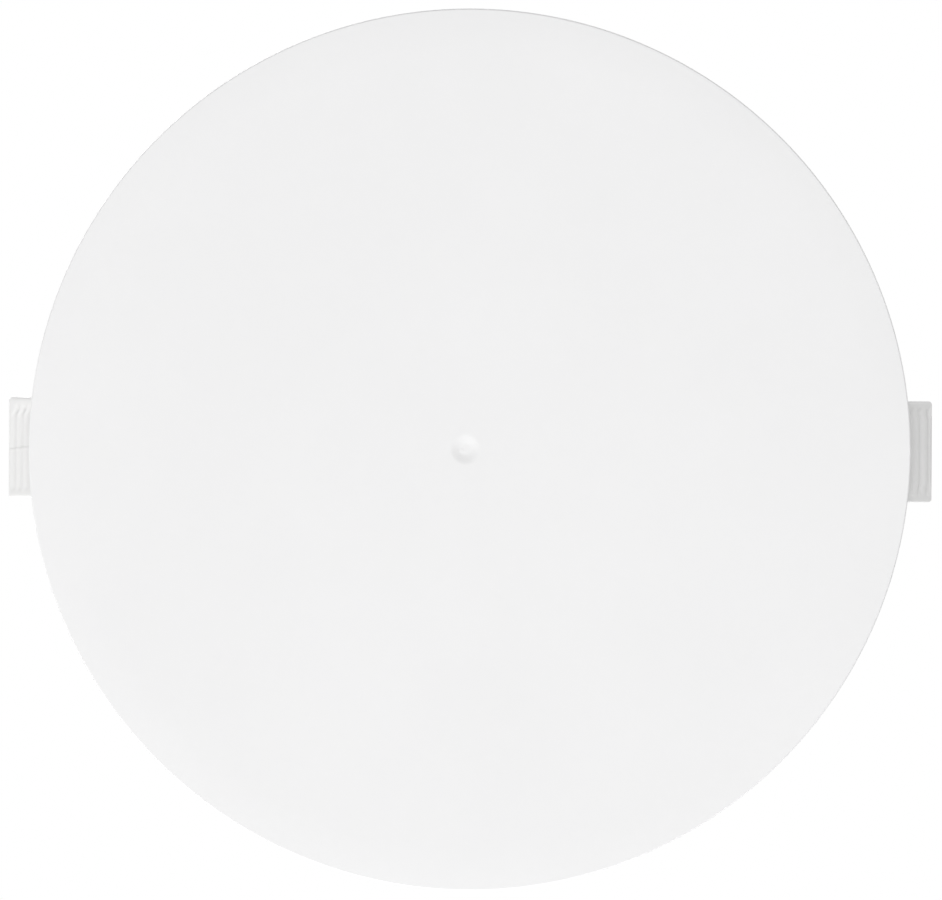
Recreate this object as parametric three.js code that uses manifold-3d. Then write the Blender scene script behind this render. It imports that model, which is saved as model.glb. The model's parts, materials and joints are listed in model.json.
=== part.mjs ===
// A concealed pendent fire sprinkler head, in millimetres, +Z up.
// z = 0 is the inlet end of the pipe thread and everything hangs below it, down to the round cover plate.
// Two sprung latches along X carry the cover in the support cup; their ribbed finger pads stand out past the
// plate's rim. The cover plate falls when its solder melts, and the deflector then drops on its guide pins.
import * as THREE from "three";
import { mergeVertices } from "three/addons/utils/BufferGeometryUtils.js";
import Module from "manifold-3d";

const wasm = await Module();
wasm.setup();

// ---- driving dimensions ----
const TURN = 2 * Math.PI;
const fit = 0.3; // gap left between a shaft and its hole, and between faces that meet
const ceilingZ = -50; // the ceiling's face, below the inlet end
const plateDrop = 4.5; // the cover plate's face, below the ceiling
const plate = { radius: 42, thickness: 0.7, rimHeight: 1.0, rimWall: 1.3, edgeRound: 0.6 };
const dimple = { x: -0.4, radius: 1.45, depth: 0.32 };
const nipple = { length: 13.6, endRadius: 10.36, taper: 1 / 32, pitch: 1.814, depth: 1.2 };
const bore = { radius: 5.6, mouthRadius: 7.2, mouthDepth: 3 };
const collar = { radius: 13.2, height: 5, acrossFlats: 24 };
const neck = { radius: 9.4, height: 3.9 };
const arm = { reach: 9.2, thickness: 3.3, width: 4.6, besideValve: 7.1 };
const boss = { radius: 4.4, top: -39.2, bottom: -46 };
const bulb = { radius: 1.5, wall: 0.35, length: 15.2, inCap: 0.85, inScrew: 0.75 };
const screw = { radius: 2.6, length: 6.2, socket: 2.5 };
const cup = { radius: 29, wall: 1, depth: 29.6, hole: 9.7 };
const skirt = { outer: 27.2, inner: 26, top: 20, flange: 31, opening: 16.6 };
const latch = { width: 7.6, face: 27.5, fingerDepth: 2.2, armEnd: 39.5, toothDepth: 0.4, toothPitch: 1.6 };
const pad = { width: 9.6, root: 38.6, inner: 41.7, outer: 44.05, ridges: 3, groove: 0.3 };
const spring = { radius: 2.5, wire: 0.32, turns: 5, axisHeight: 6 };
const slotClear = 0.4; // beside a latch, in the retainer's slot and between the keeper's legs
const guide = { spread: 10.5, pin: 0.95, yokeTop: -44.1, yokeHeight: 1.9, yokeRing: 7 };
const deflector = { radius: 13.5, thickness: 1, top: -47.2 };

// ---- materials ----
function metal(color, roughness) {
  return new THREE.MeshStandardMaterial({ color, roughness, metalness: 1 });
}
function plain(color, roughness) {
  return new THREE.MeshStandardMaterial({ color, roughness, metalness: 0 });
}
const whitePaint = plain(0xf1f1f1, 0.45);
const whitePlastic = plain(0xececea, 0.5);
const brass = metal(0xb8944e, 0.38);
const bronze = metal(0xa9743f, 0.4);
const zincSteel = metal(0xb4b7ba, 0.42);
const stainless = metal(0xc4c6c8, 0.28);
const nickel = metal(0xa8a39a, 0.3);
const solder = metal(0x9a9da0, 0.5);
const sealFilm = plain(0xe6e8e6, 0.6);
const redLiquid = plain(0xc01818, 0.2);
const bulbGlass = new THREE.MeshStandardMaterial({
  color: 0xe8eef0,
  roughness: 0.05,
  metalness: 0,
  transparent: true,
  opacity: 0.35,
});

// ---- solids ----
// A closed three.js geometry as a manifold-3d solid, without the slivers that fold onto an axis.
function solidOf(geometry) {
  const bare = geometry.index ? geometry.toNonIndexed() : geometry.clone();
  bare.deleteAttribute("normal");
  bare.deleteAttribute("uv");
  const merged = mergeVertices(bare, 1e-4);
  const index = merged.index.array;
  const kept = [];
  for (let i = 0; i < index.length; i += 3) {
    const [a, b, c] = [index[i], index[i + 1], index[i + 2]];
    if (a !== b && b !== c && c !== a) kept.push(a, b, c);
  }
  return new wasm.Manifold(
    new wasm.Mesh({
      numProp: 3,
      vertProperties: merged.attributes.position.array,
      triVerts: new Uint32Array(kept),
    }),
  );
}

function geometryOf(shape) {
  const mesh = shape.getMesh();
  const geometry = new THREE.BufferGeometry();
  geometry.setAttribute("position", new THREE.BufferAttribute(mesh.vertProperties, 3));
  geometry.setIndex(new THREE.BufferAttribute(mesh.triVerts, 1));
  return geometry;
}

// A closed outline of [radius, z] points turned about Z. The outline may run either way round.
function turned(outline, segments = 48) {
  const area = outline.reduce((sum, [r, z], i) => {
    const [nextR, nextZ] = outline[(i + 1) % outline.length];
    return sum + r * nextZ - nextR * z;
  }, 0);
  const loop = area > 0 ? [...outline] : [...outline].reverse();
  loop.push(loop[0]);
  const points = loop.map(([r, z]) => new THREE.Vector2(r, z));
  return solidOf(new THREE.LatheGeometry(points, segments).rotateX(Math.PI / 2));
}

function rod(radius, low, high, segments = 20) {
  return turned([[0, low], [radius, low], [radius, high], [0, high]], segments);
}

function ring(inner, outer, low, high, segments = 48) {
  return turned([[inner, low], [outer, low], [outer, high], [inner, high]], segments);
}

function block([x0, x1], [y0, y1], [z0, z1]) {
  const shape = new THREE.BoxGeometry(x1 - x0, y1 - y0, z1 - z0);
  return solidOf(shape.translate((x0 + x1) / 2, (y0 + y1) / 2, (z0 + z1) / 2));
}

// A side outline of [x, z] points, given the thickness width along Y and centred on y = 0.
function sidePlate(outline, width) {
  const shape = new THREE.Shape(outline.map(([x, z]) => new THREE.Vector2(x, z)));
  const made = new THREE.ExtrudeGeometry(shape, { depth: width, bevelEnabled: false });
  return solidOf(made.translate(0, 0, -width / 2).rotateX(Math.PI / 2));
}

function turnedBy(shape, angle) {
  return shape.rotate([0, 0, THREE.MathUtils.radToDeg(angle)]);
}

function at(shape, x, y, z = 0) {
  return shape.translate([x, y, z]);
}

function place(parent, name, material, shape, [x, y, z] = [0, 0, 0], angle = 0) {
  const mesh = new THREE.Mesh(geometryOf(shape), material);
  mesh.name = name;
  mesh.position.set(x, y, z);
  mesh.rotation.z = angle;
  parent.add(mesh);
}

// ---- the sprinkler's frame ----
const collarTop = -nipple.length;
const collarBottom = collarTop - collar.height;
const seatZ = collarBottom - neck.height;

const reliefRadius = nipple.endRadius - nipple.depth * 0.7;

// The tapered nipple's ridges, from the inlet end down, as rings of the thread's pitch and depth.
function threadOutline() {
  const points = [];
  const ridges = Math.floor((nipple.length - 1) / nipple.pitch);
  for (let i = 0; i < ridges; i += 1) {
    const rootZ = -0.6 - i * nipple.pitch;
    const crestZ = rootZ - nipple.pitch / 2;
    const crest = nipple.endRadius - crestZ * nipple.taper;
    points.push([crest - nipple.depth, rootZ], [crest, crestZ]);
  }
  const lastCrest = points[points.length - 1];
  points.push([reliefRadius, lastCrest[1] - nipple.pitch / 2]);
  return points;
}

// One frame arm's side outline: out from the neck, down past the bulb, and in to the boss.
function frameArm() {
  const { reach, thickness } = arm;
  const inner = reach - thickness;
  const outline = [
    [reach, seatZ + 1.5],
    [reach, boss.top + 3],
    [reach - 1.4, boss.top - 1],
    [boss.radius - 0.6, boss.top - 4.6],
    [boss.radius - 0.6, boss.top - 0.4],
    [inner - 0.6, boss.top + 2],
    [inner, boss.top + 4.5],
    [inner, seatZ - 5],
    [arm.besideValve, seatZ - 3],
    [arm.besideValve, seatZ + 1.5],
  ];
  return sidePlate(outline, arm.width);
}

function frameBody() {
  const outside = turned(
    [
      [bore.mouthRadius, 0],
      [nipple.endRadius - nipple.depth, 0],
      ...threadOutline(),
      [reliefRadius, collarTop],
      [collar.radius - 0.6, collarTop],
      [collar.radius, collarTop - 0.6],
      [collar.radius, collarBottom],
      [neck.radius, collarBottom],
      [neck.radius, seatZ],
      [bore.radius, seatZ],
      [bore.radius, -bore.mouthDepth],
    ],
    32,
  );
  const flat = collar.acrossFlats / 2;
  const flatEdge = collar.radius + 1;
  const flatZ = [collarBottom + 0.8, collarTop + 0.1];
  const flats = [
    block([-flatEdge, flatEdge], [flat, flatEdge], flatZ),
    block([-flatEdge, flatEdge], [-flatEdge, -flat], flatZ),
  ];
  const screwHole = rod(screw.radius + fit, boss.bottom - 1, boss.top + 1, 24);
  let body = outside;
  for (const cut of flats) body = body.subtract(cut);
  const crossBoss = rod(boss.radius, boss.bottom, boss.top, 28);
  body = body.add(frameArm()).add(turnedBy(frameArm(), Math.PI)).add(crossBoss);
  return body.subtract(screwHole);
}

// ---- the valve, the bulb and the load screw ----
const valve = { film: 0.3, washer: 0.7, flange: 1.2, radius: 6.6, stem: 2.3, stemLength: 1.6 };
const stemEndZ = seatZ - valve.film - valve.washer - valve.flange - valve.stemLength;
const bulbTop = stemEndZ + bulb.inCap;
const screwTop = bulbTop - bulb.length + bulb.inScrew;

// The cap: a plug that stands in the waterway, a flange behind the seal, and a stem with the bulb's socket.
function valveCap() {
  const top = -valve.film - valve.washer;
  const stemEnd = top - valve.flange - valve.stemLength;
  return turned(
    [
      [0, 1.4],
      [3.2, 1.4],
      [4.4, 0.6],
      [4.4, top],
      [valve.radius, top],
      [valve.radius, top - valve.flange],
      [valve.stem, top - valve.flange],
      [valve.stem, stemEnd],
      [bulb.radius + 0.15, stemEnd],
      [0.8, stemEnd + 1],
      [0, stemEnd + 1],
    ],
    32,
  );
}

// A dished ring: its inner edge rests on the cap and its outer edge presses the film on the seat.
function bellevilleWasher() {
  const top = -valve.film;
  const inner = 4.8;
  const rise = 0.3;
  return turned(
    [
      [inner, top - valve.washer],
      [valve.radius, top - valve.washer + rise],
      [valve.radius, top],
      [inner, top - rise],
    ],
    32,
  );
}

// The glass tube with round ends, open at the drawn tip below.
function bulbGlassTube() {
  const outer = [];
  const inner = [];
  const steps = 4;
  for (let i = 0; i <= steps; i += 1) {
    const a = (i / steps) * (Math.PI / 2);
    const inside = bulb.radius - bulb.wall;
    outer.push([bulb.radius * Math.sin(a), -bulb.radius + bulb.radius * Math.cos(a)]);
    inner.unshift([inside * Math.sin(a), -bulb.radius + inside * Math.cos(a)]);
  }
  const bottom = -bulb.length;
  return turned(
    [
      ...outer,
      [bulb.radius, bottom + 1.5],
      [0.75, bottom + 0.35],
      [0.6, bottom - 0.9],
      [0.3, bottom - 0.9],
      [0.3, bottom + 0.7],
      [bulb.radius - bulb.wall, bottom + 1.7],
      ...inner,
    ],
    20,
  );
}

function bulbLiquid() {
  const r = bulb.radius - bulb.wall - 0.1;
  const top = -bulb.radius - 0.6;
  return turned(
    [
      [0, top],
      [r * 0.7, top + 0.3],
      [r, top],
      [r, -bulb.length + 2.2],
      [0, -bulb.length + 1.1],
    ],
    16,
  );
}

// The load screw: a cone at the top takes the bulb's lower end, and a hexagon socket is below.
function loadScrew() {
  const body = turned(
    [
      [0.95, 0],
      [1.6, 0],
      [screw.radius, -0.5],
      [screw.radius, -screw.length + 0.4],
      [screw.radius - 0.4, -screw.length],
      [0, -screw.length],
      [0, -2.6],
      [0.95, -2.6],
    ],
    24,
  );
  const seat = turned([[0, -1], [1.6, 0.1], [0, 0.1]], 24);
  const socketRadius = screw.socket / Math.sqrt(3);
  const socket = rod(socketRadius, -screw.length - 1, -screw.length + 1.9, 6);
  return body.subtract(seat).subtract(socket);
}

// ---- the support cup ----
const cupWeb = 1.2;
const cupWindow = { width: 8, low: -24.5, high: -8, corner: 2, count: 6 };
const cupVent = { radius: 3.4, circle: 20, count: 4 };

// A window's cutter: a rectangle with round corners, carried along +Y through the cup's wall.
function roundedCut({ width, low, high, corner }) {
  const half = width / 2;
  const shape = new THREE.Shape();
  shape.moveTo(-half + corner, low);
  shape.lineTo(half - corner, low);
  shape.absarc(half - corner, low + corner, corner, -Math.PI / 2, 0);
  shape.lineTo(half, high - corner);
  shape.absarc(half - corner, high - corner, corner, 0, Math.PI / 2);
  shape.lineTo(-half + corner, high);
  shape.absarc(-half + corner, high - corner, corner, Math.PI / 2, Math.PI);
  shape.lineTo(-half, low + corner);
  shape.absarc(-half + corner, low + corner, corner, Math.PI, Math.PI * 1.5);
  const reach = 6;
  const options = { depth: 2 * reach, bevelEnabled: false, curveSegments: 3 };
  const made = new THREE.ExtrudeGeometry(shape, options);
  return solidOf(made.rotateX(Math.PI / 2).translate(0, cup.radius + reach, 0));
}

function supportCup() {
  const inner = cup.radius - cup.wall;
  const bend = 1.2;
  let body = turned(
    [
      [cup.hole, 0],
      [cup.radius - bend, 0],
      [cup.radius, -bend],
      [cup.radius, -cup.depth],
      [inner, -cup.depth],
      [inner, -cupWeb - bend / 2],
      [inner - bend / 2, -cupWeb],
      [cup.hole, -cupWeb],
    ],
    48,
  );
  const sideWindow = roundedCut(cupWindow);
  for (let i = 0; i < cupWindow.count; i += 1) {
    body = body.subtract(turnedBy(sideWindow, (i / cupWindow.count) * TURN));
  }
  const vent = at(rod(cupVent.radius, -cupWeb - 1, 1, 16), cupVent.circle, 0);
  for (let i = 0; i < cupVent.count; i += 1) {
    body = body.subtract(turnedBy(vent, ((i + 0.5) / cupVent.count) * TURN));
  }
  return body;
}

// ---- the deflector and its guide ----
// The yoke: a ring on the boss with an ear each side, bored for the two pins.
function guideYoke() {
  const earHalf = 2.8;
  const tip = guide.spread + 2.4;
  const bar = block([-earHalf, earHalf], [-tip, tip], [-guide.yokeHeight, 0]);
  let yoke = rod(guide.yokeRing, -guide.yokeHeight, 0, 28).add(bar);
  yoke = yoke.subtract(rod(boss.radius + fit, -guide.yokeHeight - 1, 1, 28));
  const pinHole = rod(guide.pin + fit, -guide.yokeHeight - 1, 1, 16);
  for (const side of [1, -1]) yoke = yoke.subtract(at(pinHole, 0, side * guide.spread));
  return yoke;
}

function deflectorPlate() {
  const { radius, thickness } = deflector;
  let disc = turned(
    [
      [3, -thickness],
      [radius, -thickness],
      [radius, 0],
      [3, 0],
    ],
    48,
  );
  const slotRoot = 8.6;
  const slotHalf = 0.85;
  const through = [-thickness - 1, 1];
  const slot = block([slotRoot, radius + 2], [-slotHalf, slotHalf], through);
  const notch = slot.add(at(rod(slotHalf, ...through, 12), slotRoot, 0));
  // a fan of slots towards +X and one towards -X, which leave the pins on +Y and -Y in solid metal
  for (const facing of [0, 180]) {
    for (const degrees of [-62.5, -37.5, -12.5, 12.5, 37.5, 62.5]) {
      disc = disc.subtract(turnedBy(notch, THREE.MathUtils.degToRad(facing + degrees)));
    }
  }
  for (const side of [1, -1]) {
    disc = disc.subtract(at(rod(guide.pin + fit, ...through, 16), 0, side * guide.spread));
  }
  return disc;
}

// A pin with its rivet head under the deflector and a shoulder on top of it.
function guidePin(length) {
  const under = -deflector.thickness;
  return turned(
    [
      [0, under - 0.7],
      [1.2, under - 0.7],
      [1.8, under - 0.3],
      [1.8, under],
      [guide.pin, under],
      [guide.pin, 0],
      [1.7, 0],
      [1.7, 0.9],
      [guide.pin, 0.9],
      [guide.pin, length - 0.3],
      [guide.pin - 0.3, length],
      [0, length],
    ],
    16,
  );
}

// ---- the cover's retainer, measured from the ceiling's face ----
const flangeZ = { low: 0.1, high: 1.3 };
const armZ = { low: -2, high: -0.2 };
const keeper = { strap: 0.6, inner: 21.6, outer: 28.4, half: 9.2 };
const keeperScrew = { x: 23.8, y: 7.1, shank: 0.8, head: 1.5, headHeight: 0.5, length: 4.6 };
const strapZ = { high: armZ.low - 0.1, low: armZ.low - 0.1 - keeper.strap };
const plateBack = -plateDrop + plate.thickness;
const solderZ = { low: plateBack, high: plateBack + 0.4 };
const foot = { radius: 1.8, circle: 20.5, angles: [90, 210, 330] };
const leaf = { thickness: 0.3, width: 4, root: 28.8, tip: 37.6, angles: [30, 150, 270] };
const rivet = { shank: 0.7, head: 1.35, headHeight: 0.5, length: 1.3 };
const retainerSlot = { inner: 22.8, outer: 29, top: skirt.top - 0.9 };
const seat = { inner: 16.8, outer: 18.6, half: 3.5, top: 9.2 };

function keeperHoles() {
  const holes = [];
  for (const sideX of [1, -1]) {
    for (const sideY of [1, -1]) {
      const hole = rod(keeperScrew.shank + fit, strapZ.low - 1, flangeZ.high + 1, 12);
      holes.push(at(hole, sideX * keeperScrew.x, sideY * keeperScrew.y));
    }
  }
  return holes;
}

function retainerRing() {
  let body = turned(
    [
      [skirt.opening, flangeZ.low],
      [skirt.flange, flangeZ.low],
      [skirt.flange, flangeZ.high],
      [skirt.outer, flangeZ.high],
      [skirt.outer, skirt.top],
      [skirt.inner, skirt.top],
      [skirt.inner, flangeZ.high],
      [skirt.opening, flangeZ.high],
    ],
    48,
  );
  for (const side of [0, Math.PI]) {
    const post = block([seat.inner, seat.outer], [-seat.half, seat.half], [flangeZ.low, seat.top]);
    body = body.add(turnedBy(post, side));
  }
  for (const side of [0, Math.PI]) {
    const slotHalf = latch.width / 2 + slotClear;
    const across = [retainerSlot.inner, retainerSlot.outer];
    const slot = block(across, [-slotHalf, slotHalf], [flangeZ.low - 1, retainerSlot.top]);
    body = body.subtract(turnedBy(slot, side));
  }
  for (const degrees of foot.angles) {
    const leg = at(rod(foot.radius, solderZ.high, flangeZ.low + 0.5, 16), foot.circle, 0);
    body = body.add(turnedBy(leg, THREE.MathUtils.degToRad(degrees)));
  }
  for (const hole of keeperHoles()) body = body.subtract(hole);
  for (const degrees of leaf.angles) {
    const hole = at(rod(rivet.shank + fit, flangeZ.low - 1, flangeZ.high + 1, 12), leaf.root, 0);
    body = body.subtract(turnedBy(hole, THREE.MathUtils.degToRad(degrees)));
  }
  return body;
}

// A strap that holds one latch's arm up under the flange, with a leg each side of the arm.
function keeperStrap() {
  const across = [keeper.inner, keeper.outer];
  const legInner = latch.width / 2 + slotClear;
  let strap = block(across, [-keeper.half, keeper.half], [strapZ.low, strapZ.high]);
  strap = strap.add(block(across, [legInner, keeper.half], [strapZ.low, flangeZ.low]));
  strap = strap.add(block(across, [-keeper.half, -legInner], [strapZ.low, flangeZ.low]));
  for (const hole of keeperHoles()) strap = strap.subtract(hole);
  return strap;
}

// A flat-headed fixing pushed up through its hole: the head is below z = 0 and the shank above it.
function fixing({ shank, head, headHeight, length }) {
  return turned(
    [
      [0, -headHeight],
      [head * 0.7, -headHeight],
      [head, -headHeight * 0.3],
      [head, 0],
      [shank, 0],
      [shank, length],
      [0, length],
    ],
    14,
  );
}

// A bent strip: flat under its rivet, then sloping down and out to a short flat tip on the plate's back.
function ejectLeaf() {
  const { thickness, root, tip } = leaf;
  const end = 2;
  const bend = root + 2.2;
  const lead = 0.2; // the strip's two faces bend this far apart
  const outline = [
    [root - end, flangeZ.low],
    [root - end, flangeZ.low - thickness],
    [bend, flangeZ.low - thickness],
    [tip - end - lead, plateBack],
    [tip, plateBack],
    [tip, plateBack + thickness],
    [tip - end, plateBack + thickness],
    [bend + lead, flangeZ.low],
  ];
  const hole = rod(rivet.shank + fit, flangeZ.low - 1, flangeZ.low + 1, 12);
  return sidePlate(outline, leaf.width).subtract(at(hole, root, 0));
}

// ---- the sprung latches ----
// The pad's side: grooves between ridges run up its slope, from the plate's rim to the pad's outer edge.
function padOutline() {
  const low = -plateDrop + plate.rimHeight + fit;
  const top = -0.1;
  const lip = 0.35;
  const slope = Math.atan2(top - lip - low, pad.outer - pad.inner);
  const outline = [[pad.root, low], [pad.inner, low]];
  for (let i = 0; i < pad.ridges; i += 1) {
    for (const [share, sink] of [[0.15, pad.groove], [0.4, 0], [0.8, 0]]) {
      const t = (i + share) / pad.ridges;
      outline.push([
        THREE.MathUtils.lerp(pad.inner, pad.outer, t) - sink * Math.sin(slope),
        THREE.MathUtils.lerp(low, top - lip, t) + sink * Math.cos(slope),
      ]);
    }
  }
  outline.push([pad.outer, top - lip], [pad.outer, top], [pad.root, top]);
  return outline;
}

// The finger inside the cup, with teeth towards its wall, and the arm that joins it to the pad.
function fingerOutline() {
  const inner = latch.face - latch.fingerDepth;
  const root = latch.face - latch.toothDepth;
  const fingerTop = skirt.top - 1.6;
  const teeth = 4;
  const outline = [
    [inner, armZ.low],
    [latch.armEnd, armZ.low],
    [latch.armEnd, armZ.high],
    [root, armZ.high],
  ];
  for (let i = teeth; i > 0; i -= 1) {
    const low = fingerTop - i * latch.toothPitch;
    outline.push([root, low], [latch.face, low + latch.toothPitch * 0.6]);
    outline.push([latch.face, low + latch.toothPitch * 0.75]);
  }
  outline.push([root, fingerTop], [inner, fingerTop]);
  return outline;
}

function latchPiece() {
  const finger = sidePlate(fingerOutline(), latch.width);
  return finger.add(sidePlate(padOutline(), pad.width));
}

// The centre line of a coil along +X.
class CoilPath extends THREE.Curve {
  constructor(length) {
    super();
    this.length = length;
  }
  getPoint(t, target = new THREE.Vector3()) {
    const a = t * spring.turns * TURN;
    const r = spring.radius - spring.wire;
    const reach = spring.wire + t * (this.length - 2 * spring.wire);
    return target.set(reach, r * Math.cos(a), r * Math.sin(a));
  }
}

function latchSpring() {
  const gap = 0.05;
  const length = latch.face - latch.fingerDepth - seat.outer - 2 * gap;
  const wire = new THREE.Shape();
  wire.absarc(0, 0, spring.wire, 0, TURN);
  const options = {
    steps: spring.turns * 10,
    curveSegments: 3,
    bevelEnabled: false,
    extrudePath: new CoilPath(length),
  };
  return at(solidOf(new THREE.ExtrudeGeometry(wire, options)), seat.outer + gap, 0);
}

// ---- the cover plate ----
// A pressed disc with a turned-up rim, a rounded front edge and a shallow dimple beside the centre.
function coverPlate() {
  const { radius, thickness, rimHeight, rimWall, edgeRound } = plate;
  const edge = [];
  const steps = 4;
  for (let i = 0; i <= steps; i += 1) {
    const a = (i / steps) * (Math.PI / 2);
    const inward = edgeRound * (1 - Math.sin(a));
    edge.push([radius - inward, edgeRound * (1 - Math.cos(a))]);
  }
  const disc = turned(
    [
      [0, 0],
      ...edge,
      [radius, rimHeight],
      [radius - rimWall, rimHeight],
      [radius - rimWall - 0.5, thickness],
      [0, thickness],
    ],
    72,
  );
  const dish = turned(
    [
      [0, dimple.depth],
      [dimple.radius * 0.5, dimple.depth * 0.85],
      [dimple.radius, 0],
      [dimple.radius, -1],
      [0, -1],
    ],
    24,
  );
  return disc.subtract(at(dish, dimple.x, 0));
}

// ---- assembly ----
const head = new THREE.Group();
place(head, "frame_body", brass, frameBody());
place(head, "support_cup", zincSteel, supportCup(), [0, 0, collarBottom]);
const cupLockRing = ring(neck.radius + fit, 12.2, -1.6, 0, 32);
place(head, "cup_lock_ring", brass, cupLockRing, [0, 0, collarBottom - cupWeb]);

const seatFilm = ring(bore.radius, valve.radius, -valve.film, 0, 32);
place(head, "seal_film", sealFilm, seatFilm, [0, 0, seatZ]);
place(head, "belleville_washer", nickel, bellevilleWasher(), [0, 0, seatZ]);
place(head, "valve_cap", brass, valveCap(), [0, 0, seatZ]);
place(head, "bulb_glass", bulbGlass, bulbGlassTube(), [0, 0, bulbTop]);
place(head, "bulb_liquid", redLiquid, bulbLiquid(), [0, 0, bulbTop]);
place(head, "load_screw", brass, loadScrew(), [0, 0, screwTop]);
place(head, "guide_yoke", bronze, guideYoke(), [0, 0, guide.yokeTop]);

const dropping = new THREE.Group();
dropping.position.z = deflector.top;
head.add(dropping);
place(dropping, "deflector", bronze, deflectorPlate());
const pinLength = seatZ - fit - deflector.top;
const stopCollar = ring(guide.pin + fit, 2, -1.8, 0, 16);
for (const [i, side] of [1, -1].entries()) {
  const y = side * guide.spread;
  place(dropping, `guide_pin_${i + 1}`, stainless, guidePin(pinLength), [0, y, 0]);
  place(dropping, `pin_stop_${i + 1}`, stainless, stopCollar, [0, y, pinLength - 0.6]);
}

const cover = new THREE.Group();
cover.position.z = ceilingZ;
head.add(cover);
place(cover, "retainer", brass, retainerRing());
place(cover, "cover_plate", whitePaint, coverPlate(), [0, 0, -plateDrop]);
for (const [side, angle] of [["right", 0], ["left", Math.PI]]) {
  place(cover, `${side}_latch`, whitePlastic, latchPiece(), [0, 0, 0], angle);
  place(cover, `${side}_latch_spring`, stainless, latchSpring(), [0, 0, spring.axisHeight], angle);
  place(cover, `${side}_keeper`, zincSteel, keeperStrap(), [0, 0, 0], angle);
  for (const [i, sideY] of [1, -1].entries()) {
    const sideX = Math.cos(angle);
    const spot = [sideX * keeperScrew.x, sideY * keeperScrew.y, strapZ.low];
    place(cover, `${side}_keeper_screw_${i + 1}`, zincSteel, fixing(keeperScrew), spot);
  }
}
for (const [i, degrees] of foot.angles.entries()) {
  const a = THREE.MathUtils.degToRad(degrees);
  const spot = [foot.circle * Math.cos(a), foot.circle * Math.sin(a), 0];
  const joint = rod(foot.radius + 0.5, solderZ.low, solderZ.high, 18);
  place(cover, `solder_pad_${i + 1}`, solder, joint, spot);
}
for (const [i, degrees] of leaf.angles.entries()) {
  const a = THREE.MathUtils.degToRad(degrees);
  place(cover, `eject_leaf_${i + 1}`, stainless, ejectLeaf(), [0, 0, 0], a);
  const spot = [leaf.root * Math.cos(a), leaf.root * Math.sin(a), flangeZ.low - leaf.thickness];
  place(cover, `leaf_rivet_${i + 1}`, brass, fixing(rivet), spot);
}

export default head;
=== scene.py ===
import json
import math
from functools import partial
import bmesh
import bpy
import numpy as np
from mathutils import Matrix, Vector

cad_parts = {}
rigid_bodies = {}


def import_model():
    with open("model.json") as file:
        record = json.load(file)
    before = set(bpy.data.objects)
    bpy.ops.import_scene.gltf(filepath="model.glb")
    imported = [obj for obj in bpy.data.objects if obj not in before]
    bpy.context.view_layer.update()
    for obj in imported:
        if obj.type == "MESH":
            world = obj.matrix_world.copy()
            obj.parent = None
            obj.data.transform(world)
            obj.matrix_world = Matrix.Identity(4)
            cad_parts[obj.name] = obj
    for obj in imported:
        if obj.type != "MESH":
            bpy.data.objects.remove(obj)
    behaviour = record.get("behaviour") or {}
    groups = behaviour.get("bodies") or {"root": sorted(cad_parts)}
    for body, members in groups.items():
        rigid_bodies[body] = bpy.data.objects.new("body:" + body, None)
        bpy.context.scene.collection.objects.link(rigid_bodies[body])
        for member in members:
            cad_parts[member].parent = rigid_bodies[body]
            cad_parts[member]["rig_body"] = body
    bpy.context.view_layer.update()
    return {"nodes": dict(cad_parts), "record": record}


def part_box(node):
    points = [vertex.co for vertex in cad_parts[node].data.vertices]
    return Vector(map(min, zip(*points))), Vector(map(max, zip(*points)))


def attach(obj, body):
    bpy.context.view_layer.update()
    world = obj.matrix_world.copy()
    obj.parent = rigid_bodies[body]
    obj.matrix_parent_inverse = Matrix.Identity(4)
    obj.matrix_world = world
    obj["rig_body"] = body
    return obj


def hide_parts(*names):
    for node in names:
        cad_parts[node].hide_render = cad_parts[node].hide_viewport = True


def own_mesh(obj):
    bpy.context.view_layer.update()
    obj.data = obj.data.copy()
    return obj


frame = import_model()

# Shapes are worked out in millimetres, in the frame's own axes, and made in metres.
mm = 0.001
fullTurn = 2 * math.pi
scene = bpy.context.scene
ceiling = -50.0  # the ceiling's face, below the pipe thread's end
slotOfNode = {row["node"]: row["material_slot"] for row in frame["record"]["subparts"]}


def nodeBox(node):
    # a node's lowest and highest corners, in millimetres
    low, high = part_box(node)
    return np.array(low) / mm, np.array(high) / mm


# Surfaces: each function gives an array of points and a list of faces.

def gridFaces(rows, columns, rowsClose=True, columnsClose=True):
    # quads between neighbours of a rows by columns grid, which wraps round where it closes
    i = np.arange(rows if rowsClose else rows - 1)[:, None]
    j = np.arange(columns if columnsClose else columns - 1)[None]
    this, after = i * columns, (i + 1) % rows * columns
    corners = [this + j, after + j, after + (j + 1) % columns, this + (j + 1) % columns]
    return np.stack(corners, -1).reshape(-1, 4).tolist()


def unit(vectors):
    return vectors / np.linalg.norm(vectors, axis=-1, keepdims=True)


def roundCorners(corners, closed=True, steps=5):
    # each corner (x, y, radius) becomes an arc that touches both of its sides
    found = []
    for k, corner in enumerate(corners):
        here, radius = np.array(corner[:2], float), corner[2] if len(corner) > 2 else 0
        if radius <= 0 or (not closed and k in (0, len(corners) - 1)):
            found.append(here[None])
            continue
        before, after = [np.array(corners[n % len(corners)][:2]) - here for n in (k - 1, k + 1)]
        shorter = min(np.linalg.norm(before), np.linalg.norm(after))
        before, after = unit(before), unit(after)
        half = 0.5 * math.acos(np.clip(before @ after, -1, 1))
        reach = min(radius / math.tan(half), 0.49 * shorter)
        centre = here + unit(before + after) * reach / math.cos(half)
        start, end = here + before * reach - centre, here + after * reach - centre
        sweep = math.pi - 2 * half
        t = np.linspace(0, 1, steps + 1)[:, None]
        arc = np.sin((1 - t) * sweep) * start + np.sin(t * sweep) * end
        found.append(centre + arc / math.sin(sweep))
    return np.concatenate(found)


def wholeTurn(steps):
    return np.linspace(0, fullTurn, steps, endpoint=False)


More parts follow.
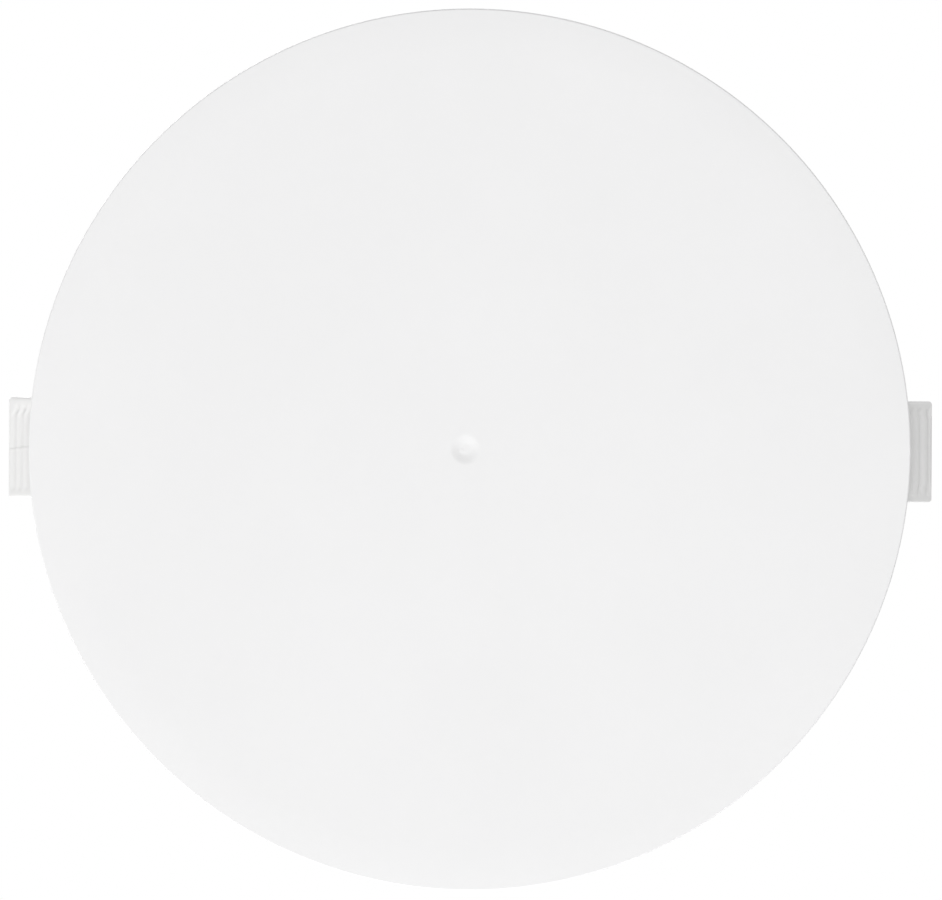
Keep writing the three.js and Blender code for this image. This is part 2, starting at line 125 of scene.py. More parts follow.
def turned(profile, segments=128, reshape=None, angles=None):
    # point = (r cos a, r sin a, z), for each point (r, z) of the profile and each angle a
    angles = wholeTurn(segments) if angles is None else angles
    a = angles[:, None]
    profile = np.asarray(profile, float)
    r, z = profile[:, 0] + 0 * a, profile[:, 1] + 0 * a
    if reshape:
        r, z = reshape(r, z, a)
    points = np.stack([r * np.cos(a), r * np.sin(a), z], -1).reshape(-1, 3)
    onAxis = profile[0, 0] < 1e-6 and profile[-1, 0] < 1e-6
    return points, gridFaces(len(angles), len(profile), True, not onAxis)


def carried(path, section, up, size=1):
    # point = path + p * side + q * up, for each section point (p, q); size scales p and q along the path
    along = unit(np.gradient(path, axis=0))
    up = np.broadcast_to(up, path.shape)
    up = unit(up - (up * along).sum(1, keepdims=True) * along)
    side = np.cross(up, along)
    twice = [0, *range(len(path)), -1]
    path, up, side = path[twice, None], up[twice, None], side[twice, None]
    size = np.pad(np.broadcast_to(size, (len(along), 2)), ((1, 1), (0, 0)))  # both ends close on a point
    p, q = section[:, 0] * size[:, :1], section[:, 1] * size[:, 1:]
    points = path + p[..., None] * side + q[..., None] * up
    return points.reshape(-1, 3), gridFaces(len(path), len(section), False, True)


def prism(outline, low, high, axis=1, steps=0):
    # a flat outline carried straight from low to high along one axis, closed by its own outline;
    # with steps, its corners (x, y, radius) are rounded first
    outline = roundCorners(outline, steps=steps) if steps else np.asarray(outline, float)[:, :2]
    ends = [np.insert(outline, axis, value, axis=1) for value in (low, high)]
    count = len(outline)
    faces = gridFaces(2, count, False, True)
    faces += [list(range(count)), list(range(2 * count - 1, count - 1, -1))]
    return np.concatenate(ends), faces


def circle(radius, steps=32, start=0):
    a = wholeTurn(steps) + start
    return np.stack([radius * np.cos(a), radius * np.sin(a)], -1)


def roundBar(power, steps):
    # a square with very round corners: |x| ^ power + |y| ^ power = 1
    c, s = circle(1, steps).T
    r = (abs(c) ** power + abs(s) ** power) ** (-1 / power)
    return np.stack([r * c, r * s], -1)


def smooth(x, low, high):
    # 0 below low, 1 above high, and 3 t t - 2 t t t between them
    t = np.clip((x - low) / (high - low), 0, 1)
    return t * t * (3 - 2 * t)


def throughPoints(points, steps=10):
    # cubic pieces from point to point, whose slope at a point is half the step between its neighbours
    p = np.asarray(points, float)
    slope = np.gradient(p, axis=0)
    t = np.linspace(0, 1, steps, endpoint=False)[:, None, None]
    first, last = 2 * t**3 - 3 * t**2 + 1, 3 * t**2 - 2 * t**3
    curve = first * p[:-1] + last * p[1:] + (t**3 - 2 * t**2 + t) * slope[:-1] + (t**3 - t**2) * slope[1:]
    return np.concatenate([curve.swapaxes(0, 1).reshape(-1, p.shape[1]), p[-1:]])


def ridge(turns):
    # a screw thread's height from 0 to 1: straight flanks between flat roots and flat crests
    return np.clip(1.2 - 2.8 * abs(turns % 1 - 0.5), 0, 1)


def finely(profile, longest):
    # extra points, so that no step of an open profile is longer than this
    start, step = profile[:-1], np.diff(profile, axis=0)
    counts = np.maximum(np.ceil(np.linalg.norm(step, axis=1) / longest).astype(int), 1)
    k = np.repeat(np.arange(len(start)), counts)
    share = (np.arange(counts.sum()) - np.repeat(np.cumsum(counts) - counts, counts)) / counts[k]
    return np.concatenate([start[k] + share[:, None] * step[k], profile[-1:]])


def lathed(corners, segments, reshape=None, closed=False, steps=5):
    # rounded corners (r, z, radius) turned round Z
    return turned(roundCorners(corners, closed, steps), segments, reshape)


def cylinder(radius, low, high, steps=32, edge=0):
    # a rod along Z, with its ends' edges rounded
    return lathed([(0, low), (radius, low, edge), (radius, high, edge), (0, high)], steps)


def rectangle(x, y, corner=0):
    # four corners with the same rounding, from the lowest and highest x and y
    return [(x[0], y[0], corner), (x[1], y[0], corner), (x[1], y[1], corner), (x[0], y[1], corner)]


def moved(shell, x=0, y=0, z=0, turn=0):
    # the shell turned about Z, then moved
    points, faces = shell
    c, s = math.cos(turn), math.sin(turn)
    spun = points @ np.array([[c, s, 0], [-s, c, 0], [0, 0, 1]])
    return spun + np.array([x, y, z]), faces


def copies(shell, angles):
    # the shell turned about Z to each angle, in degrees
    return [moved(shell, turn=math.radians(angle)) for angle in angles]


def joined(*shells):
    points, faces, start = [], [], 0
    for shellPoints, shellFaces in shells:
        points.append(shellPoints)
        faces += [[index + start for index in face] for face in shellFaces]
        start += len(shellPoints)
    return np.concatenate(points), faces


def shadeSmooth(mesh, sharp):
    mesh.polygons.foreach_set("use_smooth", np.ones(len(mesh.polygons), bool))
    mesh.set_sharp_from_angle(angle=math.radians(sharp))


def newObject(name, shell, sharp=32):
    # the shell in metres, with its doubles merged, its faces turned outwards and its sharp edges marked
    points, faces = shell
    mesh = bpy.data.meshes.new(name)
    mesh.from_pydata((points * mm).tolist(), [], faces)
    shape = bmesh.new()
    shape.from_mesh(mesh)
    bmesh.ops.remove_doubles(shape, verts=shape.verts, dist=1e-7)
    bmesh.ops.recalc_face_normals(shape, faces=shape.faces)
    shape.to_mesh(mesh)
    shape.free()
    shadeSmooth(mesh, sharp)
    piece = bpy.data.objects.new(name, mesh)
    scene.collection.objects.link(piece)
    return piece


def settle(piece, sharp=32):
    # the piece's modifiers become its mesh
    settled = piece.evaluated_get(bpy.context.evaluated_depsgraph_get())
    mesh = bpy.data.meshes.new_from_object(settled)
    piece.modifiers.clear()
    piece.data = mesh
    shadeSmooth(mesh, sharp)


def combine(operation, piece, *shells, sharp=32):
    tool = newObject("tool", joined(*shells))
    change = piece.modifiers.new("change", "BOOLEAN")
    change.operation, change.object, change.solver = operation, tool, "MANIFOLD"
    settle(piece, sharp)
    bpy.data.objects.remove(tool)


cutAway, weldOn = partial(combine, "DIFFERENCE"), partial(combine, "UNION")


def softenEdges(piece, width):
    edges = piece.modifiers.new("edges", "BEVEL")
    edges.width, edges.segments = width * mm, 2
    edges.limit_method, edges.angle_limit = "ANGLE", math.radians(60)
    edges.use_clamp_overlap = False
    settle(piece)


def fitPiece(piece, node):
    # the piece stands for its node, and has the node's body, slot and finish
    piece.data.materials.clear()
    piece.data.materials.append(finishes[slotOfNode[node]])
    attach(piece, frame["nodes"][node]["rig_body"])
    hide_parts(node)


def addPiece(name, shell, node, sharp=32):
    fitPiece(newObject(name, shell, sharp), node)


# Finishes: every one reads the piece's own object coordinates.

def startFinish(name, look):
    finish = bpy.data.materials.new(name)
    finish.use_nodes = True
    tree = finish.node_tree
    shader = tree.nodes["Principled BSDF"]
    for socket, value in look.get("set", {}).items():
        shader.inputs[socket].default_value = value
    return finish, tree, shader, addNode(tree, "TexCoord", "Object")


def addNode(tree, kind, output, sockets=(), **settings):
    # one output of a new shader node with these settings, each of whose inputs is linked or set
    added = tree.nodes.new("ShaderNode" + kind)
    for key, value in settings.items():
        setattr(added, key, value)
    for socket, value in dict(sockets).items():
        if isinstance(value, bpy.types.NodeSocket):
            tree.links.new(value, added.inputs[socket])
        else:
            added.inputs[socket].default_value = value
    return added.outputs[output]


def grain(tree, place, scale, stretch=(1, 1, 1), detail=3):
    # noise whose grains are 1 / scale metres across, longer where stretch is below 1
    fitted = addNode(tree, "Mapping", "Vector", {"Vector": place, "Scale": [scale * s for s in stretch]})
    sockets = {"Vector": fitted, "Scale": 1, "Detail": detail, "Roughness": 0.55}
    return addNode(tree, "TexNoise", "Fac", sockets)


def spread(tree, value, fromLow, fromHigh, low, high):
    sockets = {"Value": value, "From Min": fromLow, "From Max": fromHigh, "To Min": low, "To Max": high}
    return addNode(tree, "MapRange", "Result", sockets)


def between(tree, factor, first, second):
    first, second = [c if isinstance(c, bpy.types.NodeSocket) else (*c, 1) for c in (first, second)]
    return addNode(tree, "Mix", 2, {"Factor": factor, 6: first, 7: second}, data_type="RGBA")


def paint(tree, shader, factor, first, second):
    tree.links.new(between(tree, factor, first, second), shader.inputs["Base Color"])


def wear(tree, shader, noise, look):
    # the roughness goes from its low value to its high one with the noise
    tree.links.new(spread(tree, noise, 0.3, 0.7, *look["roughness"]), shader.inputs["Roughness"])


def raised(tree, shader, height, depth, under=None):
    # depth is the height of the relief, in millimetres
    sockets = {"Distance": depth * mm, "Height": height}
    if under is not None:
        sockets["Normal"] = under
    bump = addNode(tree, "Bump", "Normal", sockets)
    tree.links.new(bump, shader.inputs["Normal"])
    return bump


def fromAxis(tree, place):
    # (distance from the part's axis, 0, z): noise on this makes rings, as a lathe tool does
    flat = addNode(tree, "VectorMath", "Vector", {0: place, 1: (1, 1, 0)}, operation="MULTIPLY")
    reach = addNode(tree, "VectorMath", "Value", {0: flat}, operation="LENGTH")
    height = addNode(tree, "SeparateXYZ", "Z", {"Vector": place})
    return addNode(tree, "CombineXYZ", "Vector", {"X": reach, "Z": height})


def metalFinish(name, look):
    # clouds tint the metal, streaks or rings vary its roughness, and a fine grain gives it relief
    finish, tree, shader, place = startFinish(name, look)
    shader.inputs["Metallic"].default_value = 1
    clouds = spread(tree, grain(tree, place, look["clouds"], detail=4), 0.35, 0.68, 0, 1)
    paint(tree, shader, clouds, look["colour"], look["shade"])
    lines = fromAxis(tree, place) if look.get("rings") else place
    streaks = grain(tree, lines, look["streaks"], look.get("stretch", (1, 1, 1)), detail=2)
    wear(tree, shader, streaks, look)
    relief = raised(tree, shader, streaks, look["streakDepth"])
    raised(tree, shader, grain(tree, place, look["grain"], detail=2), look["grainDepth"], relief)
    return finish


def paleFinish(name, look):
    # moulded or painted white: a very slight change of tone, fine orange peel and a few faint specks
    finish, tree, shader, place = startFinish(name, look)
    tone = spread(tree, grain(tree, place, look["clouds"], detail=2), 0.35, 0.65, 0, 1)
    plain = between(tree, tone, look["colour"], look["shade"])
    cells = addNode(tree, "TexVoronoi", "Distance", {"Vector": place, "Scale": look["specks"]})
    speck = spread(tree, cells, look["speckSize"] * 0.6, look["speckSize"], 1, 0)
    paint(tree, shader, speck, plain, look["speckColour"])
    peel = grain(tree, place, look["peel"], detail=2)
    wear(tree, shader, peel, look)
    raised(tree, shader, peel, look["peelDepth"])
    return finish


def clearFinish(name, look):
    finish, tree, shader, place = startFinish(name, look)
    tint = grain(tree, place, look["clouds"], detail=1)
    paint(tree, shader, tint, look["colour"], look["shade"])
    wear(tree, shader, tint, look)
    return finish


metals = {
    "cast_brass": {
        "colour": (0.66, 0.45, 0.19), "shade": (0.50, 0.33, 0.13), "roughness": (0.26, 0.44), "clouds": 260,
        "streaks": 1500, "streakDepth": 0.006, "grain": 5200, "grainDepth": 0.006, "rings": True,
    },
    "sheet_brass": {
        "colour": (0.70, 0.49, 0.21), "shade": (0.60, 0.40, 0.16), "roughness": (0.24, 0.40), "clouds": 140,
        "streaks": 2400, "stretch": (0.05, 1, 1), "streakDepth": 0.002, "grain": 7000, "grainDepth": 0.001,
    },
    "sheet_bronze": {
        "colour": (0.62, 0.36, 0.17), "shade": (0.48, 0.26, 0.12), "roughness": (0.26, 0.42), "clouds": 170,
        "streaks": 2400, "stretch": (1, 0.05, 1), "streakDepth": 0.002, "grain": 7000, "grainDepth": 0.001,
    },
    "zinc_steel": {
        "colour": (0.61, 0.63, 0.65), "shade": (0.54, 0.55, 0.55), "roughness": (0.30, 0.44), "clouds": 190,
        "streaks": 700, "streakDepth": 0.0003, "grain": 3600, "grainDepth": 0.0012,
    },
    "stainless": {
        "colour": (0.66, 0.66, 0.65), "shade": (0.56, 0.56, 0.56), "roughness": (0.16, 0.30), "clouds": 300,
        "streaks": 4200, "stretch": (1, 1, 0.1), "streakDepth": 0.001, "grain": 8000, "grainDepth": 0.0005,
    },
    "nickel_spring": {
        "colour": (0.56, 0.53, 0.48), "shade": (0.46, 0.43, 0.39), "roughness": (0.20, 0.34), "clouds": 300,
        "streaks": 3000, "streakDepth": 0.001, "grain": 8000, "grainDepth": 0.0005, "rings": True,
    },
    "solder": {
        "colour": (0.46, 0.47, 0.48), "shade": (0.33, 0.34, 0.35), "roughness": (0.34, 0.60), "clouds": 700,
        "streaks": 1800, "streakDepth": 0.01, "grain": 5000, "grainDepth": 0.004,
    },
}
pales = {
    "cover_paint": {
        "colour": (0.864, 0.863, 0.8655), "shade": (0.854, 0.853, 0.8555), "roughness": (0.42, 0.50), "clouds": 60,
        "specks": 70, "speckSize": 0.011, "speckColour": (0.80, 0.80, 0.79), "peel": 1700, "peelDepth": 0.0015,
        "set": {"Specular IOR Level": 0.45},
    },
    "latch_plastic": {
        "colour": (0.850, 0.848, 0.843), "shade": (0.835, 0.833, 0.828), "roughness": (0.40, 0.50), "clouds": 160,
        "specks": 160, "speckSize": 0.012, "speckColour": (0.78, 0.78, 0.76), "peel": 3200, "peelDepth": 0.003,
        "set": {"Specular IOR Level": 0.45},
    },
    "seal_film": {
        "colour": (0.80, 0.81, 0.80), "shade": (0.74, 0.75, 0.74), "roughness": (0.30, 0.42), "clouds": 400,
        "specks": 300, "speckSize": 0.01, "speckColour": (0.7, 0.7, 0.7), "peel": 3000, "peelDepth": 0.002,
        "set": {"Subsurface Weight": 0.1, "Subsurface Scale": 0.0005},
    },
}
clears = {
    "bulb_glass": {
        "colour": (0.97, 0.985, 0.98), "shade": (0.95, 0.97, 0.965), "roughness": (0.0, 0.02), "clouds": 200,
        "set": {"Transmission Weight": 1.0, "IOR": 1.47},
    },
    "bulb_liquid": {
        "colour": (0.86, 0.03, 0.02), "shade": (0.78, 0.02, 0.015), "roughness": (0.0, 0.03), "clouds": 300,
        "set": {"Transmission Weight": 0.75, "IOR": 1.36},
    },
}
finishes = {}
for looks, makeFinish in ((metals, metalFinish), (pales, paleFinish), (clears, clearFinish)):
    finishes.update({slot: makeFinish(slot, look) for slot, look in looks.items()})
print("finishes made:", len(finishes))


# The cover plate: a pressed disc, rounded at its front edge, with a shallow dimple beside its centre.

cover = {
    "edgeRound": 0.15, "rimWall": 1.3, "thickness": 0.7,
    "dimpleX": -0.4, "dimpleY": 0.0, "dimpleRadius": 1.5, "dimpleFloor": 0.25, "dimpleDepth": 0.15,
    "nubX": -0.75, "nubY": 0.1, "nubRadius": 0.28, "nubHeight": 0.02,
    "flashWidth": 0.28, "flashHeight": 0.10,
}


def makeCoverPlate():
    low, high = nodeBox("cover_plate")
    radius, front, rim = high[0], low[2], high[2]
    back = front + cover["thickness"]
    inner = radius - cover["rimWall"]
    edge = [
        (radius - 4, front), (radius, front, cover["edgeRound"]), (radius, rim, 0.15), (inner, rim, 0.15),
        (inner - 0.3, back, 0.2), (radius - 6, back),
    ]
    face = [(r, front) for r in (*np.linspace(0, 2.6, 36), *np.linspace(3, radius - 4.5, 40))]
    backFace = [(r, back) for r in np.linspace(radius - 7, 0, 16)]
    profile = np.concatenate([face, roundCorners(edge, closed=False, steps=10), backFace])

    def dimpled(r, z, a):
        # the depth falls smoothly to nothing from the floor's edge to the dimple's, and a low nub stands in it
        x, y = r * np.cos(a), r * np.sin(a)
        distance = np.hypot(x - cover["dimpleX"], y - cover["dimpleY"]) / cover["dimpleRadius"]
        bowl = 1 - smooth(distance, cover["dimpleFloor"], 1)
        nub = np.clip(1 - (np.hypot(x - cover["nubX"], y - cover["nubY"]) / cover["nubRadius"]) ** 2, 0, 1) ** 2
        z = z + (z < front + 0.001) * (cover["dimpleDepth"] * bowl - cover["nubHeight"] * nub)
        # a small lump of flash stands on the edge's round, on +X
        across = (y / cover["flashWidth"]) ** 2 + ((x - radius + 0.45) / (1.2 * cover["flashWidth"])) ** 2
        lump = cover["flashHeight"] * np.exp(-across) * (z < rim - 0.8)
        return r, z - np.minimum(lump, np.maximum(z - front, 0))

    angles = np.unique([*wholeTurn(288), *np.linspace(-0.03, 0.03, 26) % fullTurn])  # closer by the flash
    addPiece("coverPlate", turned(profile, reshape=dimpled, angles=angles), "cover_plate", sharp=40)


makeCoverPlate()


# The latches: a ribbed pad past the plate's rim, an arm under the flange and a toothed finger in the cup.

latch = {
    "grooveHalf": 0.32, "plainEnd": 1.1, "endFade": 0.65,
    "seamWidth": 0.09, "edgeRound": 0.30,
    "padLength": 5.45, "slopeTop": 0.45, "slopeFoot": 2.35,
    "armWidth": 7.6, "armLow": -2.0, "armHigh": -0.2, "armEnd": 39.5, "fingerTop": 18.4, "padTop": -0.1,
    "toothDepth": 0.4, "toothPitch": 1.6, "teeth": 4, "fingerDepth": 2.2,
}
# how far each pad's grooves are in from its outer edge, how deep they are, how far they bend at their two ends,
# how high the seam's step is and how it slants, and how far the latch sits in
latchSides = {
    "right": {
        "facing": 0, "grooves": (0.18, 0.97, 1.72), "depth": 0.2, "bends": (0.12, 0.12), "seam": 0.015,
        "slant": 0.0, "play": 0.0,
    },
    "left": {
        "facing": math.pi, "grooves": (0.42, 1.06, 1.72), "depth": 0.07, "bends": (0.0, 0.28), "seam": 0.04,
        "slant": 0.12, "play": 0.12,
    },
}


def latchPad(side, outer, halfWidth, low, top):
    # the pad's side outline is carried across the part, and its sloping face gives way at each groove
    inner, foot, lip = outer - latch["padLength"], outer - latch["slopeFoot"], top - latch["slopeTop"]
    corners = [(inner, low, 0.4), (foot, low, 0.3), (outer, lip, 0.15), (outer, top, 0.12), (inner, top, 0.4)]
    around = roundCorners(corners, steps=4)
    cut = int(np.argmax(np.diff(around[:, 1]))) + 1  # the slope is the step that rises most
    t = np.linspace(0, 1, 96)[1:-1, None]
    around = np.concatenate([around[:cut], (1 - t) * around[cut - 1] + t * around[cut], around[cut:]])

    end, rounding = halfWidth, latch["edgeRound"]
    curl = rounding * (1 - np.cos(np.linspace(0, math.pi / 2, 7)))
    spans = ((0, 0.35, 12), (0.4, end - 2.2, 14), (end - 2, end - rounding - 0.05, 18))
    half = np.concatenate([*[np.linspace(*span) for span in spans], end - curl[::-1]])
    y = np.concatenate([-half[:0:-1], half])[:, None]
    x, z = around[:, 0] + 0 * y, around[:, 1] + 0 * y
    slope = math.atan2(lip - low, outer - foot)
    onSlope = smooth(x, foot + 0.02, foot + 0.2) * (z < top - 0.3)
    fromEnd = end - abs(y)
    depth = 0 * x
    for inward in side["grooves"]:
        # a groove's middle curves towards the plate as it nears its ends
        bend = np.where(y < 0, *side["bends"])
        middle = outer - inward - bend * (1 - smooth(fromEnd, latch["plainEnd"], 2.1)) ** 2
        across = np.clip(abs(x - middle) / latch["grooveHalf"], 0, 1)
        depth = np.maximum(depth, (1 - across**2) ** 2)
    depth = side["depth"] * depth * smooth(fromEnd, latch["plainEnd"] - latch["endFade"], latch["plainEnd"])
    # the half that is further round the part stands proud of the other, by the mould's mismatch
    fromSeam = (y - side["slant"] * (outer - 1.1 - x)) * math.cos(side["facing"])
    sunk = side["seam"] * (1 - smooth(fromSeam, -latch["seamWidth"], latch["seamWidth"]))
    depth = (depth + sunk) * onSlope
    x, z = x - depth * math.sin(slope), z + depth * math.cos(slope)
    # each end's outline shrinks by a quarter circle's inset, and closes on its middle
    inset = rounding - np.sqrt(np.maximum(rounding**2 - np.clip(rounding - fromEnd, 0, rounding) ** 2, 0))
    middleX, middleZ = outer - latch["padLength"] / 2, (low + top) / 2
    x = middleX + (x - middleX) * (1 - 2 * inset / latch["padLength"])
    z = middleZ + (z - middleZ) * (1 - 2 * inset / (top - low))
    points = np.stack([x, y + 0 * x, z], -1)
    first, last = [points[:1] * 0 + (middleX, side * end, middleZ) for side in (-1, 1)]
    points = np.concatenate([first, points, last])
    return points.reshape(-1, 3), gridFaces(len(points), len(around), False, True)


def latchArm(face):
    # the arm and finger seen from the side, with saw teeth towards the cup's wall, carried across the part
    inner, root, top = face - latch["fingerDepth"], face - latch["toothDepth"], ceiling + latch["fingerTop"]
    low, high, pitch = ceiling + latch["armLow"], ceiling + latch["armHigh"], latch["toothPitch"]
    outline = [(inner, low, 0.6), (latch["armEnd"], low, 0.1), (latch["armEnd"], high, 0.1), (root, high, 0.8)]
    for tooth in range(latch["teeth"], 0, -1):
        base = top - tooth * pitch
        outline += [(root, base, 0.1), (face, base + 0.6 * pitch, 0.15), (face, base + 0.75 * pitch, 0.15)]
    outline += [(root, top, 0.25), (inner, top, 0.5)]
    half = latch["armWidth"] / 2
    return prism(outline, -half, half, steps=4)


def makeLatch(sideName):
    node, side = f"{sideName}_latch", latchSides[sideName]
    low, high = nodeBox(node)
    reach = np.abs([low[0], high[0]])
    aside = -side["play"] * math.cos(side["facing"])
    arm = latchArm(reach.min() + latch["fingerDepth"])
    pad = latchPad(side, reach.max(), high[1], low[2], ceiling + latch["padTop"])
    addPiece(f"{sideName}Latch", moved(joined(pad, arm), x=aside, turn=side["facing"]), node, sharp=50)


for sideName in latchSides:
    makeLatch(sideName)
print("cover plate and latches made")


# The frame: a tapered pipe thread, a collar with wrench flats, a neck, and two cast arms down to a boss.

body = {
    "endRadius": 10.36, "taper": 1 / 32, "pitch": 1.814, "threadDepth": 1.2, "threadEnd": -12.9,
    "boreRadius": 5.6, "mouthRadius": 7.2, "mouthDepth": 3,
    "collarTop": -13.6, "collarBottom": -18.6, "collarRadius": 13.2, "flatAt": 12, "flatLow": -17.8,
    "neckRadius": 9.4, "seatAt": -22.5, "castRound": 0.7,
    "bossRadius": 4.4, "bossTop": -39.2, "screwHole": 2.9, "armPower": 3.2,
    # the arm's middle line in x and z, with its half thickness and half width
    "arm": [
        (8.15, -21.0, 1.05, 2.3), (8.15, -25.2, 1.05, 2.3), (7.6, -27.8, 1.6, 2.3), (7.5, -31.5, 1.65, 2.2),
        (7.45, -35.0, 1.7, 2.2), (6.8, -38.2, 1.75, 2.3), (5.2, -40.8, 1.8, 2.4), (3.4, -42.6, 1.7, 2.3),
    ],
}


def frameThread(r, z, a):
    # radius = tapered crest - depth * (1 - ridge of the turns made on the way down), and plain at both ends
    onNipple = (r > body["endRadius"] - 2.5) & (z > body["threadEnd"]) & (z <= 0)
    cutFully = smooth(-z, 0.2, 1.6) * smooth(z - body["threadEnd"], 0.2, 1.8)
    crest = body["endRadius"] - z * body["taper"]
    threaded = crest - body["threadDepth"] * (1 - cutFully * ridge(z / body["pitch"] - a / fullTurn))
    r = np.where(onNipple, threaded, r)
    # wrench flats: a radius is cut short at the flat's distance over |sin a|, just below the collar's top
    onCollar = (r > body["neckRadius"] + 1.5) & (z < body["collarTop"] + 0.1) & (z > body["flatLow"])
    return np.where(onCollar, np.minimum(r, body["flatAt"] / np.maximum(abs(np.sin(a)), 0.1)), r), z


def makeFrame():
    seat, collarTop, collarBottom = body["seatAt"], body["collarTop"], body["collarBottom"]
    bore, neck, collar, flatLow = body["boreRadius"], body["neckRadius"], body["collarRadius"], body["flatLow"]
    relief, root = body["endRadius"] - body["threadDepth"] * 0.7, body["endRadius"] - body["threadDepth"]
    corners = [
        (bore, seat, 0.2), (neck, seat, 0.3), (neck, collarBottom, 0.25), (collar, collarBottom, 0.4),
        (collar, flatLow - 0.02), (collar, flatLow + 0.02), (collar, collarTop, body["castRound"]),
        (relief, collarTop, 0.3), *[(root, z) for z in np.linspace(body["threadEnd"], 0, 110)],
        (body["mouthRadius"], 0, 0.3), (bore, -body["mouthDepth"], 0.4),
    ]
    flatEnd = math.asin(body["flatAt"] / collar)
    flatEnds = [flatEnd, math.pi - flatEnd, math.pi + flatEnd, fullTurn - flatEnd]
    angles = np.unique([*wholeTurn(256), *flatEnds])
    piece = newObject("frameBody", turned(roundCorners(corners), reshape=frameThread, angles=angles), sharp=38)
    line = throughPoints(body["arm"])
    path = np.insert(line[:, :2], 1, 0, axis=1)
    armShell = carried(path, roundBar(body["armPower"], 36), (0, 1, 0), size=line[:, 2:])
    bossLow = nodeBox("frame_body")[0][2]
    boss = cylinder(body["bossRadius"], bossLow, body["bossTop"], 64, edge=0.5)
    weldOn(piece, armShell, moved(armShell, turn=math.pi), sharp=38)
    weldOn(piece, boss, sharp=38)
    cutAway(piece, cylinder(body["screwHole"], bossLow - 1, body["bossTop"] + 1, 64), sharp=38)
    fitPiece(piece, "frame_body")


makeFrame()


# The support cup: pressed steel with air windows, vents, and a rack of pressed beads for the latches' teeth.

cup = {
    "wall": 1.0, "web": 1.2, "hole": 9.7, "bend": 1.8, "windows": 6, "windowWidth": 8,
    "windowLow": -24.5, "windowHigh": -8, "windowCorner": 2,
    "vents": 4, "ventRadius": 3.4, "ventCircle": 20,
    "beadPitch": 1.6, "beadDepth": 0.28, "beadHalf": 4.6, "beadFade": 0.8,
}


def makeSupportCup():
    low, high = nodeBox("support_cup")
    radius, top, lip = high[0], high[2], low[2]
    inner = radius - cup["wall"]
    wall = np.linspace(top - 3, lip + 1, 96)
    corners = [
        (cup["hole"], top, 0.15), (cup["hole"], top - cup["web"], 0.15),
        (inner, top - cup["web"], cup["bend"] - cup["wall"] + 0.3), *[(inner, z) for z in wall],
        (inner, lip, 0.3), (radius, lip, 0.3), *[(radius, z) for z in wall[::-1]], (radius, top, cup["bend"]),
    ]

    def beaded(r, z, a):
        # both faces of the wall dent inwards by depth * cos(height / pitch) ^ 2, beside the latches only
        onWall = smooth(r, radius - 2, radius - 1.2)
        beside = smooth(cup["beadHalf"] + cup["beadFade"] - abs(r * np.sin(a)), 0, cup["beadFade"])
        below = smooth(-z, -top + 3.2, -top + 4.4) * smooth(z, lip + 1.2, lip + 2.2)
        dent = cup["beadDepth"] * np.cos(math.pi * (z - lip) / cup["beadPitch"]) ** 2
        return r - dent * onWall * beside * below, z

    fine = np.linspace(-0.22, 0.22, 36)
    angles = np.unique([*wholeTurn(144), *(fine % fullTurn), *(fine + math.pi)])
    shell = turned(roundCorners(corners, steps=6), reshape=beaded, angles=angles)
    piece = newObject("supportCup", shell)
    half = cup["windowWidth"] / 2
    window = rectangle((-half, half), (top + cup["windowLow"], top + cup["windowHigh"]), cup["windowCorner"])
    window = prism(window, radius - 5, radius + 5, steps=8)
    windows = [moved(window, turn=k * fullTurn / cup["windows"]) for k in range(cup["windows"])]
    vent = moved(cylinder(cup["ventRadius"], top - 3, top + 1, 48), x=cup["ventCircle"])
    vents = [moved(vent, turn=(k + 0.5) * fullTurn / cup["vents"]) for k in range(cup["vents"])]
    cutAway(piece, *windows, *vents)
    fitPiece(piece, "support_cup")


makeSupportCup()


# The lock ring that holds the cup on the neck, with notches for a pin spanner.

lockRing = {"round": 0.25, "notches": 6, "notchHalf": 1.1, "notchDepth": 1.1}


def makeLockRing():
    low, high = nodeBox("cup_lock_ring")
    inner = body["neckRadius"] + 0.3

    def notched(r, z, a):
        # the outer wall steps in wherever the angle is close to a notch's own
        step = fullTurn / lockRing["notches"]
        fromNotch = abs((a / step + 0.5) % 1 - 0.5) * step * high[0]
        sunk = lockRing["notchDepth"] * smooth(lockRing["notchHalf"] - fromNotch, -0.06, 0.06)
        return np.where(r > high[0] - 0.8, r - sunk, r), z

    corners = rectangle((inner, high[0]), (low[2], high[2]), lockRing["round"])
    addPiece("cupLockRing", lathed(corners, 480, notched, closed=True), "cup_lock_ring", sharp=35)


makeLockRing()
print("frame and support cup made")


# The valve: a film on the seat, a dished spring washer, and a turned cap with the bulb's socket.

valve = {"film": 0.3, "washer": 0.7, "flange": 1.2, "stem": 2.3, "stemLength": 1.6, "plug": 4.4, "plugTop": 1.4}


def makeValve():
    seat, (low, high) = body["seatAt"], nodeBox("seal_film")
    outer = high[0]
    film = rectangle((body["boreRadius"], outer), (low[2], high[2]), 0.1)
    addPiece("sealFilm", lathed(film, 128, closed=True, steps=3), "seal_film")

    top, inner = seat - valve["film"], 4.8
    washer = [
        (inner, top - valve["washer"], 0.12), (outer, top - valve["washer"] + 0.3, 0.12), (outer, top, 0.12),
        (inner, top - 0.3, 0.12),
    ]
    addPiece("bellevilleWasher", lathed(washer, 128, closed=True, steps=4), "belleville_washer")

    top -= valve["washer"]
    under = top - valve["flange"]
    end = under - valve["stemLength"]
    stem, plug, plugTop = valve["stem"], valve["plug"], seat + valve["plugTop"]
    cap = [
        (0, end + 1), (0.8, end + 1, 0.1), (1.65, end, 0.1), (stem, end, 0.25), (stem, under, 0.5),
        (outer, under, 0.3), (outer, top, 0.2), (plug, top, 0.15), (plug, seat + 0.6, 0.4),
        (3.2, plugTop, 0.4), (0.9, plugTop, 0.2), (0, plugTop - 0.25),
    ]
    addPiece("valveCap", lathed(cap, 128), "valve_cap", sharp=38)


makeValve()


